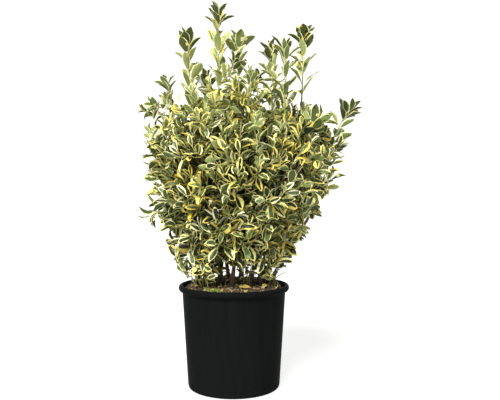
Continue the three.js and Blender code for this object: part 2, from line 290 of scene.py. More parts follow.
class Curve:
    # a Bezier curve through its first and last control points; along(share) is even in length
    samples = np.linspace(0, 1, 201)
    nudge = 1e-3

    def __init__(self, *controls):
        self.controls = np.array(controls, float)
        places = self.at(self.samples)
        self.run = np.concatenate([[0], np.cumsum(distance(places[1:], places[:-1]))])
        self.length = self.run[-1]

    def at(self, t):
        # repeated blending of neighbouring control points by t
        points = [np.broadcast_to(c, np.shape(t) + (3,)) for c in self.controls]
        t = np.asarray(t)[..., None]
        while len(points) > 1:
            points = [a + (b - a) * t for a, b in zip(points, points[1:])]
        return points[0]

    def stepAt(self, share):
        return np.interp(np.asarray(share) * self.length, self.run, self.samples)

    def along(self, share):
        return self.at(self.stepAt(share))

    def heading(self, share):
        t = self.stepAt(share)
        return unit(self.at(np.clip(t + self.nudge, 0, 1)) - self.at(np.clip(t - self.nudge, 0, 1)))


def sagging(start, end, sag):
    return (start + end) / 2 - up * sag * distance(end, start)


# The crown's shape, and the space round its heart that each mass keeps to
def crownRadius(height):
    inside = (height >= crown["outline"][0][0]) & (height < crown["outline"][-1][0])
    return np.where(inside, fromTable(height, crown["outline"]), 0.0)


def fromCentre(points, depth=1.0):
    return np.hypot(points[..., 0] - crown["centreX"], points[..., 1] / depth)


def inCrown(points, slack):
    return fromCentre(points, crown["depth"]) < crownRadius(points[..., 2]) + slack


def outward(place):
    return unit(np.array([place[0] - crown["centreX"], place[1], 0.0]))


def plantMasses():
    masses = []
    for name, row in stems.items():
        row = np.array(row) / 1000
        tip = row[3:]
        heart = tip + up * heartRise + outward(tip) * heartLean
        masses.append({"name": name, "heart": heart, "foot": row[:2], "radius": row[2], "tip": tip})
    for k in range(spiral["count"]):
        angle = math.radians(spiral["start"] + spiral["turn"] * k)
        height = spiral["low"] + (spiral["high"] - spiral["low"]) * k / (spiral["count"] - 1)
        radius = float(crownRadius(height)) * spiral["share"]
        x = crown["centreX"] + radius * math.cos(angle)
        y = radius * crown["depth"] * math.sin(angle)
        masses.append({"name": str(k + 1), "heart": np.array([x, y, height])})
    return masses


masses = plantMasses()
hearts = np.array([own["heart"] for own in masses])


def inOwnSpace(points, own, clearance):
    # true where every other heart is farther than the own one, by the clearance on each side of the border
    others = np.delete(hearts, own, axis=0)
    toOthers = ((points[..., None, :] - others) ** 2).sum(-1)
    toOwn = ((points - hearts[own]) ** 2).sum(-1)[..., None]
    return np.all((toOthers - toOwn) / (2 * distance(others, hearts[own])) > clearance, axis=-1)


# Limbs: a stem leans out from its foot and turns up again, a bough leaves the nearest clear stem
def entry(place, own):
    # the first place on the way to the mass's heart that is inside its space
    heading = unit(hearts[own] - place)
    while not inOwnSpace(place, own, limbEnd["margin"]):
        place = place + heading * limbEnd["step"]
    return place


def taper(base, tip):
    return lambda share: base + (tip - base) * np.asarray(share)


def stemRadius(base):
    trunk = taper(base * stemShape["waist"], stemShape["tipRadius"])
    flare = base * stemShape["flare"]
    return lambda share: trunk(share) + flare * np.exp(-np.asarray(share) * stemShape["flareFall"])


def stemCurve(number):
    start = np.array([*masses[number]["foot"], soil["crown"] + gap])
    end = entry(masses[number]["tip"], number)
    way = end - start
    return Curve(start, start + way * stemShape["low"], start + way * stemShape["high"], end)


def boughCurve(stem, number):
    heart = hearts[number]
    places = stem["curve"].along(np.linspace(0, 1, bough["steps"] + 1))
    flat = np.hypot(*(heart - places)[:, :2].T)
    level = np.abs(heart[2] - places[:, 2] - bough["rise"] * flat)
    first, last = (round(bough["steps"] * bough[end]) for end in ("lowest", "highest"))
    start = places[first + np.argmin(level[first:last + 1])]
    reach = min(bough["reach"], distance(heart, start) - bough["shortest"])
    end = entry(heart + unit(start - heart) * reach, number)
    return Curve(start, sagging(start, end, bough["sag"]), end)


def clearOf(curve, other):
    shares = np.linspace(0, 1, bough["otherChecks"])
    places = curve.along(np.linspace(0, 1, bough["ownChecks"]))[:, None]
    needed = bough["radius"] + other["radiusAt"](shares) + bough["apart"]
    return np.all(distance(places, other["curve"].along(shares)) > needed)


def growLimbs():
    limbs = []
    for number, own in enumerate(masses):
        if "foot" in own:
            curve, radiusAt = stemCurve(number), stemRadius(own["radius"])
        else:
            ways = [(boughCurve(stem, number), stem) for stem in limbs[:len(stems)]]
            ways.sort(key=lambda way: way[0].length)
            curve = next(c for c, stem in ways if all(o is stem or clearOf(c, o) for o in limbs))
            radiusAt = taper(bough["radius"], bough["tipRadius"])
        limbs.append({"curve": curve, "radiusAt": radiusAt})
    return limbs


limbs = growLimbs()
print("limbs grown:", len(limbs))


# Twigs: a leader from each limb's tip and side twigs from the leader, as in the solids
def reachFrom(place, direction, number):
    for _ in range(int(twig["reach"] / twig["step"])):
        ahead = place + direction * twig["step"]
        if not inOwnSpace(ahead, number, twig["spaceMargin"]) or not inCrown(ahead, -twig["crownMargin"]):
            break
        place = ahead
    return place


def sideTips(number):
    out = outward(hearts[number])
    tips = []
    for k in range(twig["perMass"]):
        turn = math.radians(((k + 0.5) / twig["perMass"] - 0.5) * twig["fan"])
        turn += between(-twig["fanStray"], twig["fanStray"])
        rise = math.radians(between(twig["low"], twig["high"]))
        level = out * math.cos(turn) + np.cross(up, out) * math.sin(turn)
        tips.append(reachFrom(hearts[number], level * math.cos(rise) + up * math.sin(rise), number))
    return tips


def leaderCurve(number, tip):
    curve = limbs[number]["curve"]
    heading = curve.heading(1.0)
    root = curve.along(1.0) + heading * gap
    ahead = root + heading * distance(tip, root) * twig["leaderBend"]
    control = ahead if inOwnSpace(ahead, number, twig["leaderMargin"]) else (root + tip) / 2
    return Curve(root, control, tip)


def sideCurve(leader, tip):
    # a twig that bears a shoot leans out first and turns up to its tip, any other sags a little
    start = leader.along(between(*twig["roots"]))
    middle = sagging(start, tip, twig["sag"])
    if shootAt(tip) is not None:
        middle = start + (tip - start) * twig["shootWay"]
    return Curve(start, middle, tip)


def mainTwigs(number):
    heart = hearts[number]
    leads = [tip + unit(heart - tip) * twig["smallOverTip" if shoot in smallShoots else "overTip"]
             for shoot, tip in enumerate(shootTips) if inOwnSpace(tip, number, massClearance)]
    ahead = unit(outward(heart) * twig["leaderLean"] + up * twig["leaderRise"])
    tip = leads.pop(0) if leads else reachFrom(heart, ahead, number)
    leader = leaderCurve(number, tip)
    sides = [sideCurve(leader, tip) for tip in leads + sideTips(number)]
    kept = [curve for curve in sides
            if inOwnSpace(curve.along(np.linspace(0, 1, 4)), number, massClearance).all()]
    return [leader] + [curve for curve in kept if staysIn(curve)]


def shootAt(tip):
    # number of the shoot that a twig with this tip bears, or None for any other twig
    apart = distance(shootTips, tip)
    return int(np.argmin(apart)) if apart.min() < twig["overTip"] + twig["nearTip"] else None


def staysIn(curve):
    # a side twig that would stand out of the closed top is kept where a shoot ends, or by chance
    tip = curve.along(1.0)
    return shootAt(tip) is not None or tip[2] < closedTop(tip) or chance() < fine["bareShare"]


# Finer twigs end at places spread evenly through their mass's space, each growing up from the nearest twig
fine = {
    "apart": 0.0262, "topApart": 0.018, "thinFrom": 0.62, "thinRise": 0.08, "lowApart": 0.006,
    "lowBelow": 0.4, "deepApart": 0.002, "deep": 0.085, "seed": 100, "span": 0.15, "trials": 3500,
    "spaceMargin": 0.002, "inset": 0.018, "clump": 0.085, "hollow": -0.5, "shell": 0.05,
    "closedTop": [(0.1, 0.72), (0.15, 0.698), (0.2, 0.634), (0.24, 0.556)], "topWave": 0.018,
    "topWaveLength": 0.11, "leadsFrom": 0.54, "bareShare": 0.12, "lowest": 0.258, "skirt": 0.034,
    "overRim": 0.249,
    "spireSeed": 200, "spireDepth": 0.04, "spireShare": 0.42, "spire": (0.01, 0.046),
    "spireFall": [(0.12, 1.0), (0.19, 0.3)],
    "lean": 0.012, "leanBelow": 0.42, "leanDepth": 0.08, "bulge": 0.012, "bulgeHeight": 0.53,
    "bulgeDepth": 0.05,
    "upward": [(0.28, 0.15), (0.58, 1.0)], "outward": [(0.28, 0.8), (0.58, 0.35)], "bend": 0.5,
    "below": 0.018, "belowCost": 1.4, "clear": 0.003, "limbChecks": 50, "checked": np.linspace(0.3, 1, 6),
    "forks": np.linspace(0.06, 0.94, 14), "laterForks": np.linspace(0.3, 0.7, 3),
}
# tips at the crown's sides and foot, in millimetres
edgeTips = np.array([
    (-152, -12, 350), (-146, 14, 326), (-140, -16, 302), (-162, 4, 382), (216, -10, 484), (222, -20, 512),
    (206, -14, 452), (236, -12, 532), (234, 2, 498), (226, 10, 462), (-190, -14, 618), (-204, 14, 604),
    (-128, -18, 292), (-112, -52, 280), (-90, -76, 276), (-66, -84, 292), (-136, 6, 316), (-104, -30, 268),
    (128, 2, 288), (126, -34, 304), (108, -18, 272), (98, -60, 302), (-14, -98, 306), (96, 84, 290),
    (20, 118, 288), (-78, 94, 284), (134, -12, 318), (236, 6, 548), (230, -26, 540),
]) / 1000
# suckers, each by the x and y of its foot in the mix and the x, y and z of its tip, in millimetres
suckers = np.array([
    (-78, -36, -118, -62, 286), (-70, -48, -92, -88, 296), (-60, -54, -68, -92, 304), (24, -30, 18, -58, 338),
    (32, -36, 36, -66, 344), (36, -30, 56, -60, 330), (84, -20, 118, -40, 290), (30, 78, 40, 112, 300),
    (-50, 70, -84, 104, 306), (-86, -28, -124, -50, 278), (-74, -58, -98, -80, 280),
    (-58, -72, -76, -96, 284), (90, -34, 122, -56, 280),
]) / 1000
suckerDepth = 0.004
suckerRise = 0.6


def leaned(points):
    # the crown's lowest foliage stands farther left than its stems do, and its middle farther right
    height = points[..., 2]
    shift = fine["lean"] * np.clip((fine["leanBelow"] - height) / fine["leanDepth"], 0, 1)
    shift = shift - fine["bulge"] * np.exp(-((height - fine["bulgeHeight"]) / fine["bulgeDepth"]) ** 2)
    return points + shift[..., None] * (1, 0, 0)


def lowestLeaf(points):
    # foliage hangs to the rim at the sides, and stands higher by the skirt's height in front and behind
    turn = np.arctan2(points[..., 1], points[..., 0])
    return fine["lowest"] + fine["skirt"] * np.sin(turn) ** 2


def closedTop(points):
    # the crown is closed up to an uneven height that falls at the shoulders; only shoots stand above it
    level = fromTable(fromCentre(points), fine["closedTop"])
    return level + fine["topWave"] * ripple(points[..., :2], fine["topWaveLength"], 92)


def spacing(places):
    # sprays stand closest at the crown's sides, farther apart at its foot and towards its top
    high = np.clip((places[:, 2] - fine["thinFrom"]) / fine["thinRise"], 0, 1)
    low = places[:, 2] < fine["lowBelow"]
    deep = inCrown(places, -fine["deep"])
    return fine["apart"] + fine["topApart"] * high + np.where(deep, fine["deepApart"], fine["lowApart"] * low)


def fineTips(number):
    # random places in the mass's space, each kept if it is far enough from those kept before
    dealer = default_rng(fine["seed"] + number)
    trials = hearts[number] + dealer.uniform(-fine["span"], fine["span"], (fine["trials"], 3))
    inside = inOwnSpace(trials, number, fine["spaceMargin"]) & inCrown(leaned(trials), -fine["inset"])
    inside &= (trials[:, 2] > lowestLeaf(trials)) & (trials[:, 2] < closedTop(trials) - fine["inset"])
    inside &= (ripple(trials, fine["clump"], 91) > fine["hollow"]) | inCrown(trials, -fine["shell"])
    trials = trials[inside]
    kept = edgeTips[inOwnSpace(edgeTips, number, 0)]
    for place, apart in zip(trials, spacing(trials)):
        if (distance(kept, place) > apart).all():
            kept = np.vstack([kept, place])
    return kept


def spires(tips, number):
    # some of the topmost places are raised, so that slender shoots stand out of the crown's top
    dealer = default_rng(fine["spireSeed"] + number)
    nearTop = tips[:, 2] > closedTop(tips) - fine["spireDepth"]
    chosen = nearTop & (dealer.random(len(tips)) < fine["spireShare"])
    inward = fromTable(fromCentre(tips), fine["spireFall"])
    tips[chosen, 2] += (dealer.uniform(*fine["spire"], len(tips)) * inward)[chosen]
    return tips, chosen


def fineCurve(root, tip):
    # low twigs lean out to their tips, high ones stand upright
    heading = up * fromTable(tip[2], fine["upward"]) + outward(tip) * fromTable(tip[2], fine["outward"])
    return Curve(root, tip - unit(heading) * fine["bend"] * distance(tip, root), tip)


def clearOfLimbs(points, margin):
    # true for each row of points that keeps the margin from every limb's surface
    shares = np.linspace(0, 1, fine["limbChecks"])
    clear = np.ones(len(points), bool)
    for limb in limbs:
        apart = distance(points[:, :, None], limb["curve"].along(shares))
        clear &= (apart > limb["radiusAt"](shares) + margin).all((1, 2))
    return clear


def fineTwigs(main, number):
    # the places nearest to the twigs are reached first, and later twigs may fork from earlier fine ones
    places = np.concatenate([curve.along(fine["forks"]) for curve in main])
    tips, raised = spires(fineTips(number), number)
    order = np.argsort(distance(tips[:, None], places).min(axis=1))
    curves = []
    for tip, isRaised in zip(tips[order], raised[order]):
        above = np.maximum(places[:, 2] - tip[2] + fine["below"], 0)
        root = places[np.argmin(distance(places, tip) + fine["belowCost"] * above)]
        curve = fineCurve(root, tip)
        if clearOfLimbs(curve.along(fine["checked"])[None], fine["clear"])[0]:
            curves.append((curve, "lead" if isRaised else "plain"))
            places = np.vstack([places, curve.along(fine["laterForks"])])
    return curves


def kindOf(tip):
    # a twig that ends in the crown is plain, one that leads out of it high up is a lead, any other is free
    if inCrown(tip, 0) and tip[2] <= closedTop(tip):
        return "plain"
    return "lead" if tip[2] > fine["leadsFrom"] else "free"


def growTwigs():
    twigs = []
    for number in range(len(masses)):
        sow(number + 1)
        main = mainTwigs(number)
        for k, curve in enumerate(main):
            part = "side" if k else "leader"
            twigs.append({"curve": curve, "mass": number, "part": part, "kind": kindOf(curve.along(1.0))})
        for curve, kind in fineTwigs(main, number):
            twigs.append({"curve": curve, "mass": number, "part": "fine", "kind": kind})
    for row in suckers:
        tip = row[2:]
        start = np.array([*row[:2], soil["crown"] - suckerDepth])
        above = start + up * suckerRise * (tip[2] - start[2])
        nearest = int(np.argmin(distance(hearts, tip)))
        twigs.append({"curve": Curve(start, above, tip), "mass": nearest, "part": "sucker", "kind": "plain"})
    return twigs


twigs = growTwigs()
print("twigs grown:", len(twigs))


# Bark: ridges run up the stems and a low collar marks each pair of buds
barkRelief = {
    "ridge": 0.055, "around": 0.02, "drawnOut": 0.35, "coarse": 0.013, "fine": 0.006, "collar": 0.0005,
    "collarSpacing": 0.031, "collarWidth": 0.006, "step": 0.0035, "fewestRows": 8, "sides": 20,
    "fineShare": 0.5,
}


def tube(curve, radii, sides):
    # circles across the curve at even steps: place + radius (cos angle, sin angle) in the cross plane
    shares = np.linspace(0, 1, len(radii))
    headings = curve.heading(shares)
    first = unit(np.cross(headings, (0.31, 0.95, 0.05)))
    ring = swung(first[:, None], np.cross(headings, first)[:, None], circle(sides))
    return curve.along(shares)[:, None] + ring * np.reshape(radii, (len(radii), -1, 1))


def barkTube(limb, seed):
    # radius = taper + flare, times 1 + ridge waves in angle and height, plus collars at even spacing
    curve, relief = limb["curve"], barkRelief
    shares = np.linspace(0, 1, max(relief["fewestRows"], int(curve.length / relief["step"])))[:, None]
    height = shares * curve.length
    around = polar(relief["around"], circle(relief["sides"]))
    field = np.stack(np.broadcast_arrays(*around, height * relief["drawnOut"]), axis=-1)
    ridges = ripple(field, relief["coarse"], seed)
    ridges = ridges + relief["fineShare"] * ripple(field, relief["fine"], seed + 50)
    collars = np.exp(-((height / relief["collarSpacing"]) % 1 - 0.5) ** 2 / relief["collarWidth"])
    radii = limb["radiusAt"](shares) * (1 + relief["ridge"] * ridges) + relief["collar"] * collars
    return capped(tube(curve, radii, relief["sides"]))


def barkMaterial():
    # fissured outer bark: dull grey-brown low down, olive green on wood that is a year or two old
    material, tree, shader = newMaterial("euonymus bark", {"Roughness": 0.82})
    grain = grainNoise(tree, 520, 6, 0.62, rise=0.22)
    old = ramp(tree, grain, [(0.3, "#2c241a"), (0.52, "#55483a"), (0.68, "#837459")])
    young = ramp(tree, grain, [(0.32, "#3b3a1c"), (0.6, "#787a42")])
    coordinates = addNode(tree, "TexCoord")
    place = addNode(tree, "SeparateXYZ", links={0: coordinates.outputs["Object"]})
    age = addNode(tree, "MapRange", {"From Min": 0.46, "From Max": 0.68}, {"Value": place.outputs["Z"]})
    colour = addNode(tree, "MixRGB", links={0: age.outputs[0], 1: old, 2: young})
    surface(tree, shader, colour.outputs[0], grain, 0.5, 0.0006)
    return material


def makeLimbs():
    bark = barkMaterial()
    kinds = (("stems", "stem_", limbs[:len(stems)]), ("boughs", "bough_", limbs[len(stems):]))
    for kind, prefix, chosen in kinds:
        points, faces = joined([barkTube(limb, seed=10 + k) for k, limb in enumerate(chosen)])
        piece = addMesh(kind, points, faces, [bark])
        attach(piece, "root")
        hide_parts(*[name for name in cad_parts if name.startswith(prefix)])


makeLimbs()
print("stems and boughs made")


# Young twigs are green, and some older ones brown; each tint has its share of the young and of the old, and
# the main twigs take more brown partly as painted shade for the crown's inside
twigTints = {"green": ("#8a9448", 0.55, 0.35), "yellow green": ("#b3ad62", 0.35, 0.2),
             "brown": ("#6a5b38", 0.1, 0.45)}
twigMesh = {"rows": 9, "fineRows": 5, "sides": 6, "roughness": 0.55, "seed": 5}


def makeTwigs():
    materials = [plainMaterial("young euonymus twig " + name, colour, twigMesh["roughness"])
                 for name, (colour, _, _) in twigTints.items()]
    _, youngShares, olderAndShadedShares = zip(*twigTints.values())
    parts, tints = [], []
    dealer = default_rng(twigMesh["seed"])
    for one in twigs:
        thin = one["part"] in ("fine", "sucker")
        rows = twigMesh["fineRows" if thin else "rows"]
        radii = np.linspace(twig["radius"][one["part"]], twig["tip"], rows)
        parts.append(capped(tube(one["curve"], radii, twigMesh["sides"])))
        # fine twigs and leads take the young shares, the main twigs inside the crown a darker mix, part older
        # wood and part painted shade
        tints.append(dealer.choice(3, p=youngShares if thin or one["kind"] == "lead" else olderAndShadedShares))
    points, faces = joined(parts)
    quadCounts = [len(quads) for _, (quads, _, _) in parts]
    slots = np.concatenate([np.repeat(tints, quadCounts), np.repeat(tints, 2 * twigMesh["sides"])])
    piece = addMesh("twigs", points, faces, materials, slots)
    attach(piece, "root")


makeTwigs()
print("twigs made")


# Leaves stand in opposite pairs, each pair turned a quarter from the last, and crowd at the shoots' tips
leafHabit = {
    # the internode and the crowded pairs of each kind of twig
    "plain": (0.019, 2), "free": (0.014, 4), "lead": (0.021, 5),
    "bud": 0.003, "tipStep": 0.006, "bare": 0.004, "seed": 13, "foot": 0.28, "rise": 0.42,
    "turnStray": 0.2, "spread": [(0, 62), (0.5, 42), (1, 34)], "spreadStray": 11,
    "tipSpread": [(0, 0.45), (1, 0.8), (2, 1.0)], "leadSpread": 0.84,
    "droop": 0.55, "droopBelow": 0.5, "droopStray": 1.4, "lightOut": 0.75, "lightUp": 0.7,
    "toLight": [(0, 0.62), (0.5, 0.12), (1, 0.06)], "roll": 0.6,
    "length": (0.036, 0.048), "leadLength": (0.049, 0.061), "tipShare": 0.84, "lowGain": 0.2,
    "suckerShare": 0.7, "smallGain": 0.7, "paleYouth": 0.45, "olderPairs": 0.22, "spire": (0.12, 0.62),
    "shadeDepth": 0.1, "checked": (0.35, 0.7, 1.0), "overlap": 0.016, "freeOverlap": 0.06, "clear": 0.002,
    "slack": [(0.4, 0.012), (0.48, 0.019), (0.53, 0.014), (0.6, -0.01)], "bands": (6, 12, 17, 22),
}


def leafNodes(one):
    # shares of the twig's length: a few pairs crowded at the tip, then one pair for each internode
    length = one["curve"].length
    step, pairs = leafHabit[one["kind"]]
    crowd = leafHabit["bud"] + leafHabit["tipStep"] * np.arange(pairs)
    back = np.concatenate([crowd, np.arange(crowd[-1] + step, length - leafHabit["bare"], step)])
    return 1 - back[back < length] / length


def shootHabit(one):
    # how dark and narrow-rimmed the young leaves of a shoot are, and their size as a share of the full length
    if one["kind"] != "lead":
        return 0.0, 1.0
    shoot = None if one["part"] == "fine" else shootAt(one["curve"].along(1.0))
    if shoot is None:
        return leafHabit["spire"]
    youth = leafHabit["paleYouth"] if shoot in paleShoots else 1.0
    return youth, leafHabit["smallGain"] if shoot in smallShoots else 1.0


def squareTo(along, vectors):
    return unit(vectors - along * (vectors * along).sum(1, keepdims=True))


def twigLeaves(one):
    # root, direction, face, length and habit of every leaf that a twig would bear; the place of its tip seeds
    # its own draws, so that each spray stays as it is when others change
    curve = one["curve"]
    dealer = default_rng([leafHabit["seed"], *np.round((curve.along(1.0) + 1) * 1000).astype(int)])
    shares = leafNodes(one)
    count = 2 * len(shares)
    lead = one["kind"] == "lead"
    places, axes = (np.repeat(a, 2, axis=0) for a in (curve.along(shares), curve.heading(shares)))
    pair = np.repeat(np.arange(len(shares)), 2)
    turn = dealer.uniform(0, math.pi) + pair * math.pi / 2 + np.tile([0, math.pi], len(shares))
    turn = turn + dealer.normal(0, leafHabit["turnStray"], count)
    first = unit(np.cross((1.0, 0.0, 0.0), axes))
    height = np.clip((places[:, 2] - leafHabit["foot"]) / leafHabit["rise"], 0, 1)
    spread = fromTable(height, leafHabit["spread"]) + dealer.normal(0, leafHabit["spreadStray"], count)
    spread = np.radians(spread) * fromTable(pair, leafHabit["tipSpread"])
    spread = spread * (leafHabit["leadSpread"] if lead else 1.0)
    along = swung(axes, swung(first, np.cross(axes, first), turn), spread)
    droop = leafHabit["droop"] * np.maximum(1 - height / leafHabit["droopBelow"], 0)
    along = unit(along - up * (droop * dealer.uniform(0.0, leafHabit["droopStray"], count))[:, None])
    light = unit(outward(hearts[one["mass"]]) * leafHabit["lightOut"] + up * leafHabit["lightUp"])
    share = 0.0 if lead else fromTable(height, leafHabit["toLight"])[:, None]
    face = unit(squareTo(along, axes) * (1 - share) + squareTo(along, light) * share)
    face = swung(face, np.cross(along, face), dealer.normal(0, leafHabit["roll"], count))
    length = dealer.uniform(*leafHabit["leadLength" if lead else "length"], count)
    length = length * np.where(pair == 0, leafHabit["tipShare"], 1.0)
    youth, gain = shootHabit(one)
    length = length * gain * (1 + leafHabit["lowGain"] * (1 - 2 * height) * (not lead))
    small = one["part"] == "sucker"
    young = youth * np.where(pair < leafHabit["lead"][1], 1.0, leafHabit["olderPairs"])
    ownLeaves = {"root": places, "along": along, "face": face, "height": height, "young": young,
                 "length": length * (leafHabit["suckerShare"] if small else 1.0)}
    ownTwig = {"mass": one["mass"], "free": one["kind"] != "plain", "small": small,
               "mood": dealer.normal(0, 1, 4), "draw": dealer.random()}
    return ownLeaves, ownTwig


def dealLeaves():
    leafRows, twigRows = zip(*[twigLeaves(one) for one in twigs])
    counts = [len(row["root"]) for row in leafRows]
    leaves = {key: np.concatenate([row[key] for row in leafRows]) for key in leafRows[0]}
    leaves.update({key: np.repeat([row[key] for row in twigRows], counts, axis=0) for key in twigRows[0]})
    # the depth in the crown, which the leaf tints turn into painted shade
    leaves["shade"] = shadeAt(leaves["root"])
    return leaves


def shadeAt(places):
    # 0 at the surface of the closed crown, rising to 1 a hand's width inside it
    inward = crownRadius(places[:, 2]) - fromCentre(places, crown["depth"])
    downward = closedTop(places) - places[:, 2]
    return np.clip(np.minimum(inward, downward) / leafHabit["shadeDepth"], 0, 1)


def keepLeaves(leaves):
    # a leaf is kept if it stays near its mass's space, in the crown, above the rim and clear of the limbs
    checked = leaves["length"][:, None, None] * np.array(leafHabit["checked"])[:, None]
    reach = leaves["root"][:, None] + leaves["along"][:, None] * checked
    lowest = np.where(leaves["small"][:, None], fine["overRim"], lowestLeaf(reach))
    keep = (reach[..., 2] > lowest).all(1) & clearOfLimbs(reach, leafHabit["clear"])
    slack = fromTable(reach[..., 2], leafHabit["slack"])
    inside = inCrown(leaned(reach), slack) & (reach[..., 2] < closedTop(reach))
    keep &= (inside | leaves["free"][:, None]).all(1)
    for number in range(len(masses)):
        for free, overlap in ((False, leafHabit["overlap"]), (True, leafHabit["freeOverlap"])):
            own = (leaves["mass"] == number) & (leaves["free"] == free)
            keep[own] &= inOwnSpace(reach[own], number, -overlap).all(1)
    return {key: value[keep] for key, value in leaves.items()}


leaves = keepLeaves(dealLeaves())
print("leaves dealt:", len(leaves["root"]))


# A leaf's blade; centre is the share of the half width that the green centre takes, by height
leafShape = {
    "around": 8, "stations": np.array([0.1, 0.24, 0.46, 0.7, 0.89]), "petiole": 0.1,
    "petioleWidth": 0.0009, "thick": 0.0005, "widestPower": 1.32, "roundness": 0.76,
    "width": [(0, 0.47), (1, 0.39)], "youngWidth": 0.08, "widthStray": 0.045, "underWidth": 0.8,
    "bend": (0.1, 0.85), "lowBend": 0.35, "fold": (0.15, 0.9), "twist": 0.45,
    "wave": 0.16, "waves": 13, "wavePhase": 6.3,
    "centre": [(0, 0.67), (0.3, 0.7), (0.6, 0.7), (1, 0.54)], "centreStray": (-0.14, 0.12),
    "borderStray": 0.13, "lopsided": 0.3, "patch": (-0.25, 0.75), "patchFrom": 0.4, "patchRise": 2.5,
    "youngCentre": 0.24, "leastCentre": 0.12, "mostCentre": 0.93, "youngBorder": 0.05,
}


def leafOutline(share):
    # half width as a share of the greatest: sine of pi times the blade share to a power, rounded off
    blade = np.clip((share - leafShape["petiole"]) / (1 - leafShape["petiole"]), 0, 1)
    return np.sin(math.pi * blade ** leafShape["widestPower"]) ** leafShape["roundness"]


def leafSurfaces(leaves, seed):
    # a leaf is a ring of 8 points at each station: 5 across its upper face and 3 under it, with a pole at
    # each end; place = root + x along + y across + z face, where x, z follow an arc that bends back from the
    # face, y = line * half width * cos(fold) and the edges are lifted by the fold and by a slow wave
    shape, shares = leafShape, leafShape["stations"]
    count, rows = len(leaves["root"]), len(shares)
    height, length, young = (leaves[key][:, None] for key in ("height", "length", "young"))
    dealer = default_rng(seed)

    def drawn(low, high):
        return dealer.uniform(low, high, (count, 1))

    def arcAt(places):
        angle = bend * places
        return length * np.sin(angle) / bend, -length * (1 - np.cos(angle)) / bend

    slimness = fromTable(height, shape["width"]) + shape["youngWidth"] * young
    width = length * (slimness + shape["widthStray"] * drawn(-1, 1)) / 2
    half = np.maximum(width * leafOutline(shares), shape["petioleWidth"])
    bend = drawn(*shape["bend"]) + (1 - height) * drawn(0.0, shape["lowBend"])
    fold = drawn(*shape["fold"])
    twist = dealer.normal(0, shape["twist"], (count, 1)) * shares
    inner = fromTable(height, shape["centre"]) + drawn(*shape["centreStray"])
    inner = inner + dealer.normal(0, shape["borderStray"], (2, count, rows))
    lopsided = dealer.normal(0, shape["lopsided"], (count, 1))
    patch = drawn(*shape["patch"]).clip(0) * (1 - young)
    tipPatch = patch * np.clip((shares - shape["patchFrom"]) * shape["patchRise"], 0, 1)
    inner = (inner + np.stack([lopsided, -lopsided])) * (1 - tipPatch) + shape["youngCentre"] * young
    inner = np.clip(inner, shape["leastCentre"], shape["mostCentre"] - shape["youngBorder"] * young)
    edge = np.ones((count, rows))
    under = edge * shape["underWidth"]
    lines = np.stack([-edge, -inner[0], 0 * edge, inner[1], edge, under, 0 * edge, -under], axis=-1)
    side = np.array([0, 1, 1, 1, 0, -1, -1, -1]) * shape["thick"] / 2
    wave = np.sin(shares * shape["waves"] + drawn(0, shape["wavePhase"])) * shape["wave"]
    lift = np.abs(lines) * (half * (np.sin(fold) + wave))[..., None] + side
    flat = lines * (half * np.cos(fold))[..., None]
    x, z = (part[..., None] for part in arcAt(shares))
    y, raised = swung(flat, -lift, twist), swung(lift, flat, twist)
    rings = np.stack([np.broadcast_to(x, y.shape), y, z + raised], axis=-1)
    poleX, poleZ = arcAt(np.array([0.0, 1.0]))
    poles = np.stack([poleX, 0 * poleX, poleZ], axis=-1)
    local = np.concatenate([rings.reshape(count, -1, 3), poles], axis=1)
    across = np.cross(leaves["face"], leaves["along"])
    return leaves["root"][:, None] + local @ np.stack([leaves["along"], across, leaves["face"]], axis=1)


def leafFaces():
    # faces of one leaf, with the zone of each: 0 centre, 1 margin, 2 under side, 3 pale rim under, 4 petiole
    rows, around = len(leafShape["stations"]), leafShape["around"]
    quads, start, end = tubeFaces(rows, around)
    strip = np.array([1, 0, 0, 1, 3, 2, 2, 3])
    petiole = np.where(strip < 2, 4, 3)
    quadZones = np.concatenate([petiole, np.tile(strip, rows - 2)])
    tipZones = np.where(np.arange(around) < 4, 1, strip)
    return quads, np.concatenate([start, end]), quadZones, np.concatenate([np.full(around, 4), tipZones])


# Tints of each zone from dark to light, shaded and lit copies of one leaf colour: the darker steps are
# painted shade and the lighter ones painted light, besides random tone; a margin is plain, gold or cream
leafTints = {
    "centre": ["#1a210e", "#2f3a1d", "#475532", "#647449", "#889766", "#a6b181"],
    "margin": ["#45431f", "#8c8642", "#cdc466", "#e6dd82", "#f3edac"],
    "gold": ["#464018", "#8a7b30", "#c9b44b", "#ddca5f", "#e9da79"],
    "cream": ["#4a492e", "#8f8a56", "#cbc67e", "#e3dd9b", "#f1edbf"],
    "under": ["#2e3820", "#4e5b30", "#768448", "#9faa68"],
    "rim": ["#c9c67c", "#efedb4"],
    "petiole": ["#a5a65c"],
}
leafRoughness = {"centre": 0.3, "under": 0.55, "rim": 0.5, "petiole": 0.5}
borderRoughness = 0.36
leafIor = 1.5
leafSpecular = 0.3
# for each zone the tint at the foot, its gain with height, loss with depth, stray and gain at the crest, and
# its loss in young leaves and in those of suckers; the gains with height and at the crest are painted light
# from above, in part also the paler young growth up there, and the loss with depth is painted shade inside
# the crown
leafTones = {
    "centre": (1.65, 1.25, 3.0, 0.8, 1.5, 4.0, 0.0),
    "margin": (4.3, 0.1, 4.1, 0.5, 0.3, 0.0, 0.5),
    "under": (1.4, 1.1, 1.9, 0.7, 0.8, 2.3, 0.0),
    "rim": (0.8, 0.6, 1.6, 0.4, 0.0, 0.0, 0.0),
}
# by height: how much the painted shade of depth counts, the painted top light at the crest, and the shares of
# gold and cream margins
toneByHeight = {
    "shade": [(0.0, 0.7), (0.3, 1.0)], "litCrest": [(0.62, 0), (0.9, 1)],
    "golden": [(0.0, 0.12), (0.3, 0.25), (0.6, 0.45), (0.9, 0.55), (1.1, 0.35)],
    "creamy": [(0.0, 0.8), (0.1, 0.45), (0.4, 0.6), (0.7, 0.9), (1.0, 0.75)],
}
